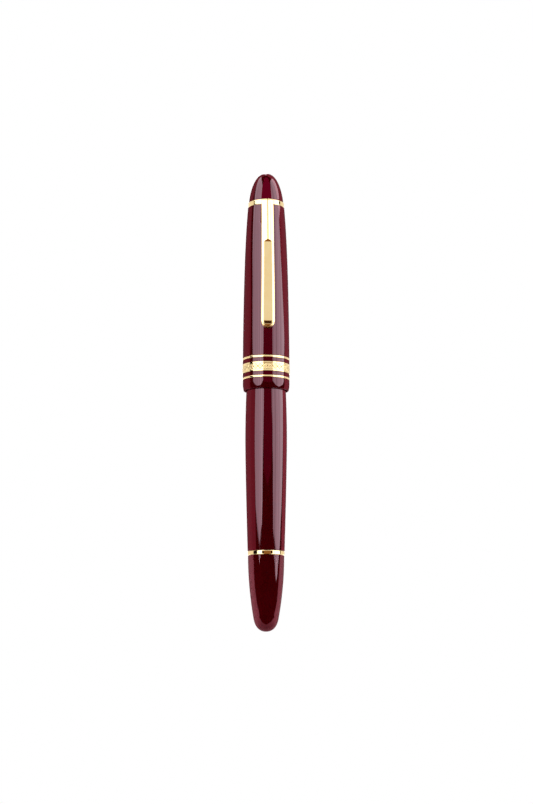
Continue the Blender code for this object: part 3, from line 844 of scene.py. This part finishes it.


def clip_section(z):
    """Half of the clip's outline at one height, from its ridge round to the middle of its back."""
    down = min(1.0, max(0.0, (CLIP_HIGH - z) / (CLIP_HIGH - CLIP_LOW)))
    wide = CLIP_HALF[0] + CLIP_HALF[1] * down ** 1.3
    facet = FACET_HALF[0] + FACET_HALF[1] * down ** 1.3
    front = CLIP_FRONT[0] + CLIP_FRONT[1] * (1.0 - (1.0 - down) ** 2.6)
    back = cap_radius(min(z, CROWN_TOP)) + CLIP_GAP[0] + CLIP_GAP[1] * math.sin(math.pi * down ** 0.8)
    root = smooth(*CLIP_ROOT, z)
    back = back * (1.0 - root) + (CLIP_RING_R + 0.10) * root
    ridge = ROOF * (math.sqrt(facet ** 2 + RIDGE_SOFT ** 2) - RIDGE_SOFT)
    flat = smooth(FACET_TOP, FACET_TOP - FACET_RUN, z)
    crest = min(front + ridge * 0.6, -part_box("clip")[0].y / MM)
    plane = crest - ridge * flat
    end = min(1.0, max(0.0, (CLIP_LOW + END_RUN - z) / END_RUN))
    curl = math.sqrt(max(0.0, 1.0 - end ** 2))
    round_end = max(0.10, curl)
    wide *= round_end
    facet *= round_end
    sink = (1.0 - curl) * (front - back - 0.45)
    sink += 0.32 * max(0.0, (z - (CLIP_HIGH - 0.45)) / 0.45)
    soft = EDGE_SOFT * round_end
    columns = [0.0, 0.12, 0.25, 0.5, 0.75, 0.95, 0.985, 1.0, 1.015, 1.05]
    xs = [facet * c for c in columns] + steps(facet * 1.05 + (wide - facet) * 0.12, wide - soft, 7)
    points = []
    for x in xs:
        roof = crest - ROOF * (math.sqrt(x * x + RIDGE_SOFT ** 2) - RIDGE_SOFT)
        points.append((x, min(roof, plane) - sink))
    edge_y = points[-1][1]
    for t in (0.25, 0.5, 0.75, 1.0):
        bend = t * math.pi / 2.0
        points.append((wide - soft + soft * math.sin(bend),
                       edge_y - 0.10 * t - soft * (1.0 - math.cos(bend))))
    side_y = points[-1][1]
    low_y = min(back + soft, side_y - 0.03)
    points.append((wide, side_y + (low_y - side_y) * 0.5))
    for t in (0.0, 0.33, 0.66, 1.0):
        bend = t * math.pi / 2.0
        points.append((wide - soft * (1.0 - math.cos(bend)), low_y - (low_y - back) * math.sin(bend)))
    points += [(wide * 0.5, back), (0.0, back)]
    return points


def clip_groove(x, z):
    """Depth, from 0 to 1, of the two grooves that mark off the clip's round end, which the finish also
    paints dark as painted shade.
    """
    rise = z - CLIP_LOW
    wide_groove = smooth(1.15, 1.32, rise) * smooth(2.12, 1.98, rise) * smooth(1.45, 1.15, abs(x))
    radius = math.hypot(x / 2.13, (END_RUN - rise) / END_RUN)
    inset = (1.0 - radius) * 2.2
    thin_groove = math.exp(-((inset - 0.42) / 0.09) ** 2) if rise < 1.1 else 0.0
    return max(wide_groove, 0.7 * thin_groove)


def make_clip():
    """Sprung clip: a rounded ridge above, a flat facet below, and an end curled to the cap."""
    heights = [CLIP_LOW + END_RUN * t ** 1.6 for t in steps(0.0, 1.0, 64)]
    heights += steps(CLIP_LOW + END_RUN + 0.4, FACET_TOP - FACET_RUN - 0.4, 60)
    heights += steps(FACET_TOP - FACET_RUN - 0.2, FACET_TOP + 0.2, 26)
    heights += steps(FACET_TOP + 0.8, CLIP_HIGH - 0.5, 34) + steps(CLIP_HIGH - 0.42, CLIP_HIGH, 6)
    verts, depth = [], []
    for z in heights:
        half = clip_section(z)
        front = len(half) - BACK_POINTS
        side = []
        for i, (x, y) in enumerate(half):
            cut = clip_groove(x, z) if i < front else 0.0
            # painted shade: the grooves, and the whole back of the clip against the cap, are painted dark
            painted_shade = cut if i < front + EDGE_POINTS else 1.0
            side.append((x, GROOVE * cut - y, z, painted_shade))
        rest = [(-x, y, h, cut) for x, y, h, cut in reversed(side[1:-1])]
        ring = len(side) + len(rest)
        verts += [v[:3] for v in side + rest]
        depth += [PAINTED_SHADE_DEPTH * v[3] for v in side + rest]
    faces = strips(len(heights), ring, closed=True)
    faces.append(tuple(reversed(range(ring))))
    faces.append(tuple(range(len(verts) - ring, len(verts))))
    clip = add_mesh("spring_clip", verts, faces, "clip", "gold_trim", "clip", finish="gold_shaded_recesses",
                    crisp=math.radians(40.0))
    set_weights(clip, "depth", depth)


# ------------ studio

METALS = ("gold_trim", "gold_nib", "brass", "hard_tip", "steel")
FLOOR_AT = -0.0053     # below the knob's lowest reach and above the camera
FLOOR_SIZE = 3.0
FLOOR_FADE = (0.12, 0.55)      # distances over which the floor melts away
PEN_MIDDLE = 0.06      # height that the cards are set round
CARD_AWAY = 2.0
CARD_GAP = 0.01        # each card is this much further off than the one before
CARD_COLUMNS = 16
CARD_ROW = 3.0         # degrees
STREAK_WIDTH = 30.0    # degrees
TOWARDS_CAMERA = Vector((-0.069, -0.984, -0.1625))
EVEN_SHARE = 0.2       # share at which an even card keeps its full radiance


def make_world():
    """White for the camera; for reflections a dark room in front that is dim behind."""
    world = bpy.data.worlds.new("studio")
    bpy.context.scene.world = world
    world.use_nodes = True
    tree = world.node_tree
    split = add_node(tree, "SeparateXYZ")
    link(add_node(tree, "TexCoord").outputs["Generated"], split.inputs["Vector"])
    behind = remap(split.outputs["Y"], 0.0, 1.0, 0.10, 0.16)
    around = mix(behind, (0.008, 0.006, 0.006), (0.05, 0.045, 0.05))
    seen = mix(add_node(tree, "LightPath").outputs["Is Camera Ray"], around, (1.0, 1.0, 1.0))
    link(seen, tree.nodes["Background"].inputs["Color"])
    tree.nodes["Background"].inputs["Strength"].default_value = 1.0


def seen_share(out):
    """Share of light from direction out that polished resin sends on to the main camera."""
    spread = math.acos(max(-1.0, min(1.0, out.dot(TOWARDS_CAMERA)))) / 2.0
    return 0.08 + 0.92 * (1.0 - math.cos(spread)) ** 5


def glow_finish(name, tint, streaky):
    """Glow added to what is behind, as strong as "level" says, with streaks along "across"."""
    made = bpy.data.materials.new(name)
    made.cycles.emission_sampling = "NONE"
    made.use_nodes = True
    tree = made.node_tree
    tree.nodes.clear()
    streaks = add_node(tree, "TexNoise", {"Scale": 3.4, "Detail": 2.0})
    streaks.noise_dimensions = "1D"
    link(attribute(tree, "across"), streaks.inputs["W"])
    dapple = remap(streaks.outputs["Fac"], 1.0 - streaky, 1.0 + streaky)
    glow = add_node(tree, "Emission", {"Color": (*tint, 1.0)})
    link(combine("MULTIPLY", attribute(tree, "level"), dapple), glow.inputs["Strength"])
    both = add_node(tree, "AddShader")
    link(glow.outputs["Emission"], both.inputs[0])
    link(add_node(tree, "BsdfTransparent").outputs["BSDF"], both.inputs[1])
    link(both.outputs["Shader"], add_node(tree, "OutputMaterial").inputs["Surface"])
    return made


def card(name, rows, radiance, tint=(1.0, 0.99, 1.0), lean=0.0, streaky=0.0, even=False, receivers=None):
    """Glowing see-through card, round the pen and far off, that shows only in reflections.

    rows give its outline in degrees: elevation, the azimuths of its two sides, with 0 in front of
    the clip and + to the pen's right, and the share of its radiance there, if not all. lean makes
    it brighter towards its second side, streaky gives it upright streaks, and an even card is
    dimmed where resin mirrors more, so that its reflection is equally bright all over.
    """
    away = CARD_AWAY + CARD_GAP * len(bpy.data.meshes)
    verts, across, level = [], [], []
    fine = [rows[0]]
    for low, high in zip(rows, rows[1:]):
        count = max(1, int(abs(high[0] - low[0]) / CARD_ROW))
        for t in steps(0.0, 1.0, count + 1)[1:]:
            fine.append([p + (q - p) * t for p, q in zip(low, high)])
    for elevation, left, right, *dimmed in fine:
        e = math.radians(elevation)
        for u in steps(0.0, 1.0, CARD_COLUMNS + 1):
            azimuth = left + (right - left) * u
            a = math.radians(azimuth)
            out = Vector((math.sin(a) * math.cos(e), -math.cos(a) * math.cos(e), math.sin(e)))
            verts.append(out * away + Vector((0.0, 0.0, PEN_MIDDLE)))
            across.append(azimuth / STREAK_WIDTH)
            share = EVEN_SHARE / seen_share(out) if even else 1.0
            share *= dimmed[0] if dimmed else 1.0
            level.append(radiance * share * (1.0 + lean * (2.0 * u - 1.0)))
    mesh = bpy.data.meshes.new(name)
    mesh.from_pydata(verts, [], strips(len(fine), CARD_COLUMNS + 1))
    obj = new_object(name, mesh)
    set_weights(obj, "across", across)
    set_weights(obj, "level", level)
    mesh.materials.append(glow_finish(name + "_glow", tint, streaky))
    obj.visible_camera = False
    obj.visible_diffuse = False
    obj.visible_shadow = False
    if receivers:
        obj.light_linking.receiver_collection = receivers


def hide_source(name, light, place, aim):
    """Point a light at a height on the pen's axis, where it is never seen or mirrored itself."""
    obj = new_object(name, light)
    obj.location = place
    obj.rotation_mode = "QUATERNION"
    obj.rotation_quaternion = (Vector(place) - Vector((0.0, 0.0, aim))).to_track_quat("Z", "Y")
    obj.visible_camera = False
    obj.visible_glossy = False


def soft_light(name, place, aim, size, radiance):
    """Square area light."""
    light = bpy.data.lights.new(name, "AREA")
    light.size = size
    light.energy = radiance * math.pi * size * size
    hide_source(name, light, place, aim)


def group_of(name, objects):
    made = bpy.data.collections.new(name)
    for obj in objects:
        made.objects.link(obj)
    return made


# Outlines of the reflected studio cards: elevation, then the azimuths of the two sides. The
# lip mirrors only elevations below 11 to the main camera, the cap 12 to 22 and the dome more.
LEFT_CARDS = {
    "cap": [
        (-10.5, -46, -41), (-9.9, -49.5, -37), (-8.6, -53.5, -31.8), (-5.4, -58, -28.3),
        (-1.7, -61.5, -25.5), (3.6, -65.3, -22.5), (8.5, -69, -20.4), (10, -69.5, -19), (13, -75, -17),
        (16, -78, -17), (18, -82, -17), (22, -87, -17), (23, -88, -36.8), (37, -96, -36.7),
        (50, -114, -40), (58, -122, -55), (64, -120, -94)],
    "barrel": [
        (0.9, -46, -43), (1.3, -51, -36), (1.8, -58, -29), (3, -67, -24.6), (6, -69, -21),
        (12, -69, -17.2), (80, -70, -17.2)],
    "knob": [(0.4, -47.4, -46.6), (3.4, -51, -39.7), (8, -58, -30), (80, -70, -17)],
    "ring": [(-9, -60, -30), (80, -60, -30)],
}
RIGHT_CARDS = {
    "cap": [
        (-10.1, 58, 63), (-9.5, 54, 66), (-8.6, 50.5, 68.5), (-7, 46.5, 71.5), (-5.8, 43.4, 74),
        (-3.2, 40.5, 79), (0.4, 37, 85), (3.4, 34, 88.1), (7.5, 30, 89.5), (10, 28.6, 92.5), (12, 28, 97),
        (12.8, 28, 99), (14.2, 28, 95), (15.9, 28, 89), (18.2, 28, 83), (22, 28, 80), (23, 33, 97),
        (33, 34, 104), (42, 37, 108), (54, 44, 108), (60, 58, 96)],
    "barrel": [
        (0.9, 56, 75), (1.5, 39.4, 88), (2.6, 38, 92), (3.7, 35.6, 97), (5, 35, 100), (6.6, 32, 101),
        (10, 32, 103), (12, 28.4, 106), (80, 28.4, 108)],
    "knob": [
        (-4.4, 66, 67), (-2.5, 58.2, 73.3), (0.6, 54.4, 77), (3.5, 47, 84.6), (8, 40, 90), (80, 28, 90)],
    "ring": [(-9, 38, 90), (80, 38, 90)],
}
LEFT_GLOW = [
    (-70, -180, -89), (12, -180, -89), (13, -180, -86), (14.4, -180, -86), (16, -180, -89),
    (18, -180, -97), (21, -180, -104), (80, -180, -104)]
RIGHT_GLOW = [
    (-70, 100, 180), (12.8, 100, 180), (14.2, 96, 180), (15.9, 90, 180), (18.2, 84, 180), (22, 81, 180),
    (80, 81, 180)]
FRONT_GLOW = [
    (3.8, 0, 6, 1), (4.6, -16, 24, 1), (7, -18, 30, 1), (22, -18, 30, 1), (23, -38, 38, 2.6),
    (80, -38, 38, 2.6)]
KNOB_RIM = [
    (-90, 0, 360, 0.35), (-54, 0, 360, 0.5), (-52, 4, 350, 0.5), (-48.5, 16, 338, 0.5),
    (-43.7, 26, 327, 0.55), (-35.5, 45, 312, 0.65), (-28, 55, 305, 0.75), (-21.3, 61.5, 300, 0.9),
    (-14, 72, 292, 1), (-11.3, 81, 282, 1), (-9.5, 85.5, 278.5, 1), (-7.4, 88, 275, 1),
    (-4.9, 89, 272, 1), (-2.4, 89.5, 271.7, 1), (1.1, 92.4, 271, 1), (4, 97, 268, 1), (80, 99, 268, 1)]
TIP = {"left": -45.0, "right": 65.0}          # azimuths of the points of the barrel's bands
EDGES = {"left": (-69.0, -21.0), "right": (32.0, 101.0)}
ALONE = {"barrel": "barrel_shell", "knob": "blind_cap", "ring": "filler_ring"}
RED = (1.0, 0.15, 0.22)
DEEP_RED = (1.0, 0.02, 0.17)
PALE_RED = (1.0, 0.38, 0.44)
WARM = (1.0, 0.46, 0.15)


def upright(left, right, low=-70.0, high=80.0):
    """Outline of a card with two upright sides."""
    return [(low, left, right), (high, left, right)]


def make_band_cards(groups, standing):
    """The white softboxes at both sides and behind, each cut to what a piece mirrors of it."""
    look = {"streaky": 0.30}
    for place, receivers in groups.items():
        card("left_" + place, LEFT_CARDS[place], 2.75, lean=0.15, receivers=receivers, **look)
        card("right_" + place, RIGHT_CARDS[place], 2.8, lean=0.18, receivers=receivers, **look)
    for side, edges in EDGES.items():
        point = (-0.5, TIP[side] - 1.0, TIP[side] + 1.0)
        card(side + "_barrel_low", [point, (-5.0, *edges), (-12.0, *edges)], 2.6, lean=0.1,
             receivers=groups["barrel"], **look)
        card(side + "_low", upright(*edges, high=-12.0)[::-1], 2.6, lean=0.1, receivers=standing, **look)
    card("rear", upright(172.0, 188.0, low=0.0), 2.5)
    for side, edges, radiance in (("middle", (172.0, 188.0), 2.5), ("left", (-140.0, -120.0), 1.2),
                                  ("right", (128.0, 150.0), 1.2)):
        card("rear_" + side, upright(*edges, high=0.0)[::-1], radiance, receivers=standing)


def make_red_cards(groups, resins, red_cap):
    """The red glow that resin shows between and beside the white bands."""
    card("front_glow", FRONT_GLOW, 0.36, tint=DEEP_RED, receivers=resins)
    card("left_glow", LEFT_GLOW, 0.29, tint=RED, even=True, receivers=red_cap)
    card("right_glow", RIGHT_GLOW, 0.44, tint=RED, even=True, receivers=red_cap)
    card("left_barrel_glow", upright(-180.0, -69.5), 0.34, tint=RED, even=True, receivers=groups["barrel"])
    card("right_barrel_glow", [(-70.0, 102.0, 180.0), (80.0, 108.0, 180.0)], 0.55, tint=RED, even=True,
         receivers=groups["barrel"])
    card("knob_rim", KNOB_RIM, 0.60, tint=PALE_RED, even=True, receivers=groups["knob"])


def make_metal_cards(metals):
    """What the gold mirrors between the white bands."""
    card("metal_front", upright(-18.0, 27.0, low=6.5), 0.84, receivers=metals)
    card("metal_front_left", upright(-37.0, -17.0, low=22.5), 2.7, receivers=metals)
    card("metal_front_right", upright(27.0, 38.0, low=22.5), 2.4, receivers=metals)
    card("metal_front_low", upright(-18.0, 27.0, -75.0, 6.5)[::-1], 0.26, tint=WARM, receivers=metals)
    card("metal_left", upright(-180.0, -89.0, low=-75.0), 0.86, receivers=metals)
    card("metal_right", upright(99.0, 180.0, low=-75.0), 0.86, receivers=metals)


def make_cards():
    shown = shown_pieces()
    resin = [o for o in shown if o.get("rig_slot") not in METALS]
    groups = {"cap": group_of("cap_pieces", [o for o in shown if o.name not in ALONE.values()])}
    for place, piece in ALONE.items():
        groups[place] = group_of(place + "_pieces", [o for o in shown if o.name == piece])
    metals = group_of("metal_pieces", [o for o in shown if o not in resin])
    resins = group_of("resin_pieces", resin)
    red_cap = group_of("red_cap_pieces", [o for o in resin if o.name not in ALONE.values()])
    standing = group_of("standing_pieces", [o for o in shown if o.name not in ("cap_mouth", "blind_cap")])
    make_band_cards(groups, standing)
    make_red_cards(groups, resins, red_cap)
    make_metal_cards(metals)


def make_lamps():
    key = bpy.data.lights.new("key", "SPOT")
    key.energy = 0.2
    key.spot_size = math.radians(60.0)
    key.spot_blend = 0.6
    key.shadow_soft_size = 0.02
    hide_source("key", key, (0.0, -0.25, 0.22), 0.09)
    soft_light("front_fill", (0.0, -1.0, 0.3), 0.06, 0.8, 2.2)
    for side in (-1.0, 1.0):
        soft_light(f"side_fill_{side:+.0f}", (side * 0.6, 0.10, 0.12), 0.06, 0.5, 3.2)
    soft_light("overhead", (0.0, 0.0, 1.4), 0.0, 1.6, 2.6)


def make_floor():
    """Pale floor, clear of the drawn-out knob, that melts into the white surroundings.

    It is one-sided, so the camera, which is a little below it, sees straight through.
    """
    bpy.ops.mesh.primitive_plane_add(size=FLOOR_SIZE, location=(0.0, 0.0, FLOOR_AT))
    floor = bpy.context.object
    floor.name = "floor"
    made, tree, shader = new_finish("pale_floor")
    shader.inputs["Base Color"].default_value = (0.72, 0.715, 0.71, 1.0)
    shader.inputs["Roughness"].default_value = 0.8
    away = add_node(tree, "VectorMath")
    away.operation = "LENGTH"
    link(add_node(tree, "TexCoord").outputs["Object"], away.inputs[0])
    fade = remap(away.outputs["Value"], 0.0, 1.0, *FLOOR_FADE)
    below = add_node(tree, "NewGeometry").outputs["Backfacing"]
    pick = add_node(tree, "MixShader")
    link(combine("MAXIMUM", below, fade), pick.inputs["Fac"])
    link(shader.outputs["BSDF"], pick.inputs[1])
    link(add_node(tree, "BsdfTransparent").outputs["BSDF"], pick.inputs[2])
    link(pick.outputs["Shader"], tree.nodes["Material Output"].inputs["Surface"])
    floor.data.materials.append(made)
    floor.visible_glossy = False
    floor.visible_shadow = False


def make_camera():
    """Low in front of the pen, a touch to its left, looking up along it."""
    azimuth, pitch = math.radians(-4.0), math.radians(9.353)
    distance, height = 0.5562, -0.01986
    aside = 0.00025    # radians that it looks past the pen's axis
    camera = bpy.data.cameras.new("camera")
    camera.sensor_width = 36.0
    camera.lens = 80.2
    obj = new_object("camera", camera)
    obj.location = (math.sin(azimuth) * distance, -math.cos(azimuth) * distance, height)
    heading = azimuth - aside
    ahead = (-math.sin(heading) * math.cos(pitch), math.cos(heading) * math.cos(pitch), math.sin(pitch))
    obj.rotation_mode = "QUATERNION"
    obj.rotation_quaternion = Vector(ahead).to_track_quat("-Z", "Y")
    bpy.context.scene.camera = obj


make_barrel()
make_ink_window()
make_section()
make_tube("feed_sleeve", "feed_collar", 3.46, "barrel", "feed_black")
make_feed()
make_nib()
make_nib_tip()
make_piston_collar()
make_tube("filler_ring", "piston_ring", NECK_R + SLACK, "barrel", "gold_trim", 0.16)
make_piston_rod()
make_piston_head()
make_spindle()
make_knob()
make_knob_insert()
make_cap_tube()
make_inner_cap()
make_cap_bush()
for node in ("trim_ring_lower", "trim_ring_upper"):
    make_tube(node + "_gold", node, SPIGOT_R + SLACK, "cap", "gold_trim", 0.13)
for node in ("spacer_lower", "spacer_upper"):
    make_tube(node + "_resin", node, SPIGOT_R + SLACK, "cap", "resin", 0.03)
make_centre_band()
make_cap_lip()
make_tube("crown_ring", "clip_ring", STUD_BORE, "cap", "gold_trim", 0.16)
make_finial()
make_stud()
make_clip()
make_world()
make_cards()
make_lamps()
make_floor()
make_camera()
bpy.context.scene.view_settings.view_transform = "Standard"
